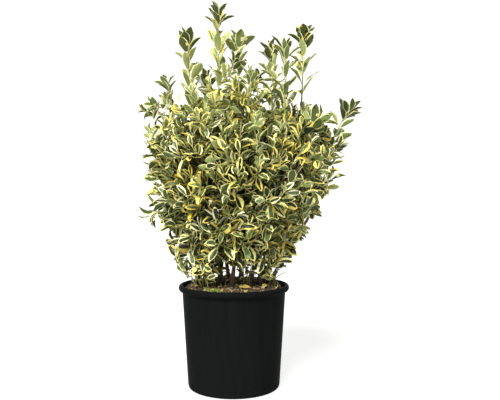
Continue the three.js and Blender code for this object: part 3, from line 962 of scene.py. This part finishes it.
# a leaf's own stray, the part of all stray that young leaves lack, and the share of lighter spots
leafStray = 0.5
youngLack = 0.7
spotShare = 0.25


def leafMaterials():
    # waxy leathery leaves: glossy above, duller under, cream to golden margins; each zone's tints are painted
    # shade and painted light copies of its colour
    return [plainMaterial("waxy leaf " + zone + " " + str(k + 1), colour,
                          leafRoughness.get(zone, borderRoughness), leafIor, leafSpecular)
            for zone, colours in leafTints.items() for k, colour in enumerate(colours)]


def dealTints(leaves, zoneSets, seed):
    # a spray's tone is random and each leaf strays from it; it is lighter with height and at the crest,
    # painted light from above with some of the top's paler growth, and darker with depth in the crown,
    # painted shade
    dealer = default_rng(seed)
    count, young = len(leaves["root"]), leaves["young"]
    byHeight = {key: fromTable(leaves["height"], table) for key, table in toneByHeight.items()}
    # painted shade: leaves deep in the crown take darker tints, less so low down
    shade = leaves["shade"] * byHeight["shade"]
    tones = []
    for mood, values in zip(leaves["mood"].T, leafTones.values()):
        level, rise, fall, stray, topLight, youth, small = values
        own = stray * (mood + dealer.normal(0, leafStray, count)) * (1 - youngLack * young)
        tone = level + rise * leaves["height"] - fall * shade + own
        tones.append(tone + topLight * byHeight["litCrest"] - youth * young - small * leaves["small"])
    tones.append(np.zeros(count))
    counts = {zone: len(colours) for zone, colours in leafTints.items()}
    starts = dict(zip(counts, np.cumsum([0, *counts.values()])))
    pale = np.where(leaves["draw"] > byHeight["creamy"], starts["cream"], starts["margin"])
    borders = np.where(leaves["draw"] < byHeight["golden"], starts["gold"], pale)[:, None]
    slots = []
    for zones in zoneSets:
        shape = (count, len(zones))
        choices = []
        for zone, tone in zip(("centre", "margin", "under", "rim", "petiole"), tones):
            spots = dealer.random(shape) < spotShare if zone == "centre" else np.zeros(shape)
            tint = np.clip(np.round(tone[:, None] + spots), 0, counts[zone] - 1).astype(int)
            choices.append(tint + (borders if zone == "margin" else starts[zone]))
        slots.append(np.choose(np.broadcast_to(zones, shape), choices).reshape(-1))
    return np.concatenate(slots)


def leafPiece(name, band, seed, materials):
    # one joined mesh of the band's leaves, creased along each leaf's outline
    quads, triangles, quadZones, triangleZones = leafFaces()
    around = leafShape["around"]
    perLeaf = around * len(leafShape["stations"]) + 2
    outline = np.arange(perLeaf) % (around // 2) == 0
    outline[-2:] = True
    count = len(band["root"])
    points = leafSurfaces(band, seed)
    offsets = (np.arange(count) * perLeaf)[:, None, None]
    faces = [(quads + offsets).reshape(-1, 4), (triangles + offsets).reshape(-1, 3)]
    slots = dealTints(band, (quadZones, triangleZones), seed + 10)
    piece = addMesh(name, points.reshape(-1, 3), faces, materials, slots, np.tile(outline, count))
    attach(piece, "root")
    print(name, count, "leaves")
    return piece


def makeLeaves():
    materials = leafMaterials()
    names = ("leavesLowest", "leavesLow", "leavesMiddle", "leavesHigh", "leavesTop")
    bands = np.split(np.argsort(hearts[:, 2]), leafHabit["bands"])
    for k, (name, numbers) in enumerate(zip(names, bands)):
        chosen = np.isin(leaves["mass"], numbers)
        piece = leafPiece(name, {key: value[chosen] for key, value in leaves.items()}, 20 + k, materials)
        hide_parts(*["foliage_" + masses[number]["name"] for number in numbers])


makeLeaves()


# Nursery pot: a turned shell with a rolled rim, and drain recesses round the foot
pot = {
    "height": 0.244, "rimRadius": 0.1325, "rimDepth": 0.02, "topRadius": 0.1233, "footRadius": 0.1093,
    "footRound": 0.006, "footTurns": (-90, -8, 7), "baseRadii": (0.03, 0.07, 0.098),
    "wall": 0.0018, "wallFrom": 0.03, "wallRows": 28, "base": 0.0024, "floorRadius": 0.06,
    "rollWidth": 0.0058, "rollHeight": 0.0072, "rollTurns": (-80, 128, 24), "underRoll": 0.0009,
    "lip": 0.0012, "lipDepth": 0.008, "innerFoot": 0.02, "innerRound": 0.006,
    "drains": 6, "drainRows": (0.008, 0.026, 0.0015), "drainWidth": 0.012, "drainTop": 0.0175,
    "drainFoot": 0.0055, "drainDepth": 0.0018, "drainSide": 0.006, "drainStep": 0.0012,
    "sides": 168, "leastAngle": 0.004,
}
drainHalf = pot["drainWidth"] / 2 / pot["footRadius"]


def arcPoints(centre, across, tall, turns):
    angles = np.radians(np.linspace(*turns))
    return np.array(centre) + np.stack([across * np.cos(angles), tall * np.sin(angles)], axis=1)


def potProfile():
    # (radius, height) from the middle of the underside, up the outside, over the rolled rim and down inside
    foot, width, tall = pot["footRadius"], pot["rollWidth"], pot["rollHeight"]
    under = pot["height"] - pot["rimDepth"]
    corner = pot["footRound"]
    heel = arcPoints((foot - corner, corner), corner, corner, pot["footTurns"])
    rimFoot = pot["height"] - 2 * tall - pot["underRoll"]
    heights = np.concatenate([np.arange(*pot["drainRows"]),
                              np.linspace(pot["wallFrom"], rimFoot, pot["wallRows"])])
    wall = np.stack([foot + (pot["topRadius"] - foot) / under * heights, heights], axis=1)
    roll = arcPoints((pot["rimRadius"] - width, pot["height"] - tall), width, tall, pot["rollTurns"])
    inner = pot["topRadius"] - pot["wall"]
    inside = [(inner + pot["lip"], pot["height"] - pot["lipDepth"]), (inner, under),
              (foot - pot["wall"], pot["innerFoot"]), (foot - pot["innerRound"], pot["base"]),
              (pot["floorRadius"], pot["base"])]
    return np.concatenate([[(radius, 0.0) for radius in pot["baseRadii"]], heel, wall, roll, inside])


def potAngles():
    # even steps, with extra lines close to the sides of each drain
    outer = drainHalf + pot["drainSide"]
    drains = circle(pot["drains"])[:, None] - math.pi / 2 + (-outer, -drainHalf, drainHalf, outer)
    angles = np.sort(np.concatenate([circle(pot["sides"]), drains.reshape(-1) % fullTurn]))
    return angles[np.concatenate([[True], np.diff(angles) > pot["leastAngle"]])]


def makePot():
    profile, angles = potProfile(), potAngles()
    radius, height = profile[:, :1], profile[:, 1:]
    drainTurn = fullTurn / pot["drains"]
    turn = (angles + math.pi / 2) % drainTurn
    turn = np.minimum(turn, drainTurn - turn)
    across = np.clip((drainHalf + pot["drainSide"] - turn) / pot["drainSide"], 0, 1)
    upward = np.clip((height - pot["drainFoot"]) / pot["drainStep"], 0, 1)
    downward = np.clip((pot["drainTop"] - height) / pot["drainStep"], 0, 1)
    outer = np.arange(len(profile))[:, None] < np.argmax(profile[:, 0])
    sunk = radius - pot["drainDepth"] * across * upward * downward * outer
    points, faces = capped(np.stack([*polar(sunk, angles), height + 0 * sunk], axis=-1))
    piece = addMesh("nurseryPot", points, faces, [potMaterial()])
    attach(piece, "root")
    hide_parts("pot")


def potMaterial():
    # black polypropylene, injection moulded: a soft satin face with faint flow streaks and a fine grain
    material, tree, shader = newMaterial("moulded polypropylene", {"IOR": 1.49, "Specular IOR Level": 0.005})
    flow = grainNoise(tree, 55, 4, rise=0.12)
    tone = ramp(tree, flow, [(0.35, "#101211"), (0.72, "#131514")])
    gloss = addNode(tree, "MapRange", {"To Min": 0.4, "To Max": 0.56}, {"Value": flow})
    surface(tree, shader, tone, grainNoise(tree, 1400, 2), 0.12, 0.0003)
    tree.links.new(gloss.outputs[0], shader.inputs["Roughness"])
    return material


makePot()
print("pot made")


# Potting mix: a ball of bark and peat with a rough top, crumbs, moss and a few fallen leaves
mix = {
    "radius": 0.1222, "poleRadius": 0.002, "rings": 46, "sides": 120, "sunk": 0.001, "relief": 0.0022,
    "lump": 0.03, "smallLump": 0.011, "smallShare": 0.6,
    "underside": [(0.1195, 0.215), (0.114, 0.1), (0.105, 0.02), (0.1, 0.0035), (0.02, 0.0035)],
}


def mixHeight(x, y):
    # flat to the plateau, then falling in a straight slope to the edge, plus two sizes of random lumps
    fall = np.clip((np.hypot(x, y) - soil["plateau"]) / (mix["radius"] - soil["plateau"]), 0, 1)
    spot = np.stack([x, y], axis=-1)
    share = mix["smallShare"]
    lumps = ripple(spot, mix["lump"], 71) + share * ripple(spot, mix["smallLump"], 72) - share
    return soil["crown"] - mix["sunk"] - (soil["crown"] - soil["edge"]) * fall + mix["relief"] * lumps


def makeMix():
    lowRadii, lowHeights = np.array(mix["underside"]).T
    radii = np.concatenate([np.linspace(mix["poleRadius"], mix["radius"], mix["rings"]), lowRadii])
    x, y = polar(radii[:, None], circle(mix["sides"]))
    height = mixHeight(x, y)
    height[-len(lowHeights):] = lowHeights[:, None]
    points, faces = capped(np.stack([x, y, height], axis=-1)[::-1])
    piece = addMesh("pottingMix", points, faces, [mixMaterial()])
    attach(piece, "root")
    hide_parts("soil")


def mixMaterial():
    # composted bark and peat: dark and matt, with paler fibres in crumbs of a few millimetres
    material, tree, shader = newMaterial("composted bark and peat", {"Roughness": 0.95})
    crumb = grainNoise(tree, 260, 8, 0.7)
    tone = ramp(tree, crumb, [(0.36, "#211a11"), (0.52, "#3d3223"), (0.7, "#6f5f40")])
    surface(tree, shader, tone, crumb, 0.8, 0.0015)
    return material


crumbs = {
    "count": 3000, "moss": 130, "size": (0.0007, 0.0032), "power": 2.2, "width": (0.35, 0.9),
    "thick": (0.2, 0.6), "reach": 0.1185, "edge": 0.119, "mossPlace": (-0.045, -0.092),
    "mossSpread": (0.014, 0.009), "mossSize": (0.0008, 0.0018), "mossFlat": 0.7, "tilt": 0.3,
    "uneven": (0.7, 1.15), "stand": 0.4, "roughness": 0.9, "seed": 41,
}
# the colour of each kind, and its share of the crumbs
crumbKinds = {
    "peat crumb": ("#2a2117", 0.3), "composted bark": ("#463824", 0.26), "pine bark chip": ("#6a5636", 0.17),
    "pale wood fibre": ("#a49264", 0.12), "rotted leaf": ("#8c5a2c", 0.05),
    "dry leaf shred": ("#b8a85e", 0.1),
}
mossTints = {"moss": "#66742a", "young moss": "#8a9a3a"}


def makeCrumbs():
    # each crumb is an uneven box: corners of a cube, jittered, stretched to a chip and laid on the mix
    dealer = default_rng(crumbs["seed"])
    count = crumbs["count"] + crumbs["moss"]
    corners = np.array([(x, y, z) for z in (-1, 1) for x, y in ((-1, -1), (1, -1), (1, 1), (-1, 1))], float)
    quads = np.array([(3, 2, 1, 0), (4, 5, 6, 7), (0, 1, 5, 4), (1, 2, 6, 5), (2, 3, 7, 6), (3, 0, 4, 7)])
    smallest, largest = crumbs["size"]
    length = smallest + (largest - smallest) * dealer.random(count) ** crumbs["power"]
    width = length * dealer.uniform(*crumbs["width"], count)
    sizes = np.stack([length, width, length * dealer.uniform(*crumbs["thick"], count)], axis=1)
    radius = np.sqrt(dealer.uniform(0, 1, count)) * crumbs["reach"]
    spots = np.stack(polar(radius, dealer.uniform(0, fullTurn, count)))
    mossy = np.arange(count) >= crumbs["count"]
    mossSpots = [dealer.normal(middle, spread, count)
                 for middle, spread in zip(crumbs["mossPlace"], crumbs["mossSpread"])]
    spotX, spotY = np.where(mossy, mossSpots, spots)
    mossSizes = dealer.uniform(*crumbs["mossSize"], crumbs["moss"])
    sizes[mossy] = mossSizes[:, None] * (1, 1, crumbs["mossFlat"])
    turn = dealer.uniform(0, fullTurn, count)
    tilt = dealer.normal(0, crumbs["tilt"], count)
    local = corners * sizes[:, None] * dealer.uniform(*crumbs["uneven"], (count, 8, 3))
    x, y, z = np.moveaxis(local, -1, 0)
    x, z = swung(x, -z, tilt), swung(z, x, tilt)
    x, y = swung(x, -y, turn), swung(y, x, turn)
    floor = mixHeight(spotX, spotY) + sizes[:, 2] * crumbs["stand"]
    laid = np.stack([x, y, z], axis=-1) + np.stack([spotX, spotY, floor], axis=1)[:, None]
    inside = np.hypot(spotX, spotY) < crumbs["edge"]
    laid = laid[inside]
    faces = (quads + (np.arange(len(laid)) * 8)[:, None, None]).reshape(-1, 4)
    shares = [share for _, share in crumbKinds.values()]
    plain = dealer.choice(len(shares), p=shares, size=count)
    tint = np.where(mossy, len(shares) + dealer.choice(len(mossTints), size=count), plain)
    colours = {name: colour for name, (colour, _) in crumbKinds.items()} | mossTints
    materials = [plainMaterial(name, colour, crumbs["roughness"]) for name, colour in colours.items()]
    slots = np.repeat(tint[inside], len(quads))
    piece = addMesh("mulchCrumbs", laid.reshape(-1, 3), [faces], materials, slots)
    piece.data.polygons.foreach_set("use_smooth", np.zeros(len(piece.data.polygons), bool))
    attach(piece, "root")


# the middles of the fallen leaves, in millimetres, and one dry tint for each zone of a leaf
fallenPlaces = np.array([
    (-10, 26), (10, -36), (80, -50), (-80, -46), (44, -92), (-36, 84), (62, 80), (-96, 30),
]) / 1000
dryTints = {
    "centre": "#a8964a", "margin": "#c4b774", "gold": "#a0743a", "cream": "#c9bf88", "under": "#8c7e4c",
    "rim": "#bfb478", "petiole": "#7a6c3e",
}
fallen = {
    "seed": 61, "above": 0.0035, "rise": (0.05, 0.35), "face": (0.0, -0.5, 1.0), "length": (0.026, 0.036),
    "roughness": 0.6,
}


def makeFallenLeaves():
    # old leaves that have turned yellow and lie flat on the mix
    count = len(fallenPlaces)
    dealer = default_rng(fallen["seed"])
    turn = dealer.uniform(0, fullTurn, count)
    height = mixHeight(*fallenPlaces.T) + fallen["above"]
    along = unit(np.column_stack([*polar(1, turn), dealer.uniform(*fallen["rise"], count)]))
    none = np.zeros(count)
    band = {
        "root": np.column_stack([fallenPlaces, height]), "along": along,
        "face": squareTo(along, np.tile(fallen["face"], (count, 1))),
        "length": dealer.uniform(*fallen["length"], count), "height": none, "shade": none, "young": none,
        "small": none, "mood": np.zeros((count, 4)), "draw": dealer.random(count),
    }
    dry = {zone: plainMaterial("yellowed leaf " + zone, tint, fallen["roughness"])
           for zone, tint in dryTints.items()}
    leafPiece("fallenLeaves", band, 62, [dry[zone] for zone, colours in leafTints.items() for _ in colours])


makeMix()
makeCrumbs()
makeFallenLeaves()
print("potting mix made")


# A plain pale floor that curves up all round and stands highest behind, and soft studio light
studio = {
    "floor": "#8a8a88", "roughness": 0.9, "glow": 0.79, "ambient": 0.08, "key": 5.5, "keyTurn": -18,
    "keyRise": 47, "keySpread": 24, "radius": 6.0, "bend": 1.2, "wall": 4.0, "wallGain": 2, "lowWall": 0.5,
    "rings": 60, "sides": 96, "white": (1.0, 1.0, 1.0, 1.0),
}


def makeStudio():
    # a dish: along each spoke a straight floor, then a quarter circle and a wall, whose height goes by the
    # sine of the spoke's turn, so that it is highest behind the plant
    bend = studio["bend"]
    quarter = bend * math.pi / 2
    run = np.linspace(0, studio["radius"] + quarter + studio["wall"], studio["rings"])[:, None]
    turn = circle(studio["sides"])
    angle = np.clip((run - studio["radius"]) / bend, 0, math.pi / 2)
    radius = np.minimum(run, studio["radius"]) + bend * np.sin(angle)
    behind = np.clip(studio["wallGain"] * np.sin(turn), studio["lowWall"], 1)
    height = bend * (1 - np.cos(angle)) + np.maximum(run - studio["radius"] - quarter, 0) * behind
    points = np.stack([*polar(radius, turn), height], axis=-1)
    material = plainMaterial("lit opal acrylic", studio["floor"], studio["roughness"])
    lit = {"Emission Color": studio["white"], "Emission Strength": studio["glow"]}
    setInputs(material.node_tree.nodes["Principled BSDF"], lit)
    quads = tubeFaces(studio["rings"], studio["sides"])[:1]
    floor = addMesh("floor", points.reshape(-1, 3), quads, [material])
    world = bpy.data.worlds.new("studio")
    world.use_nodes = True
    sky = {"Color": studio["white"], "Strength": studio["ambient"]}
    setInputs(world.node_tree.nodes["Background"], sky)
    scene = bpy.context.scene
    scene.world = world
    lamp = bpy.data.objects.new("key light", bpy.data.lights.new("key light", "SUN"))
    lamp.data.energy = studio["key"]
    lamp.data.angle = math.radians(studio["keySpread"])
    lamp.rotation_euler = (math.radians(90 - studio["keyRise"]), 0, math.radians(studio["keyTurn"]))
    scene.collection.objects.link(lamp)
    scene.view_settings.view_transform = "Standard"


makeStudio()
print("studio made")
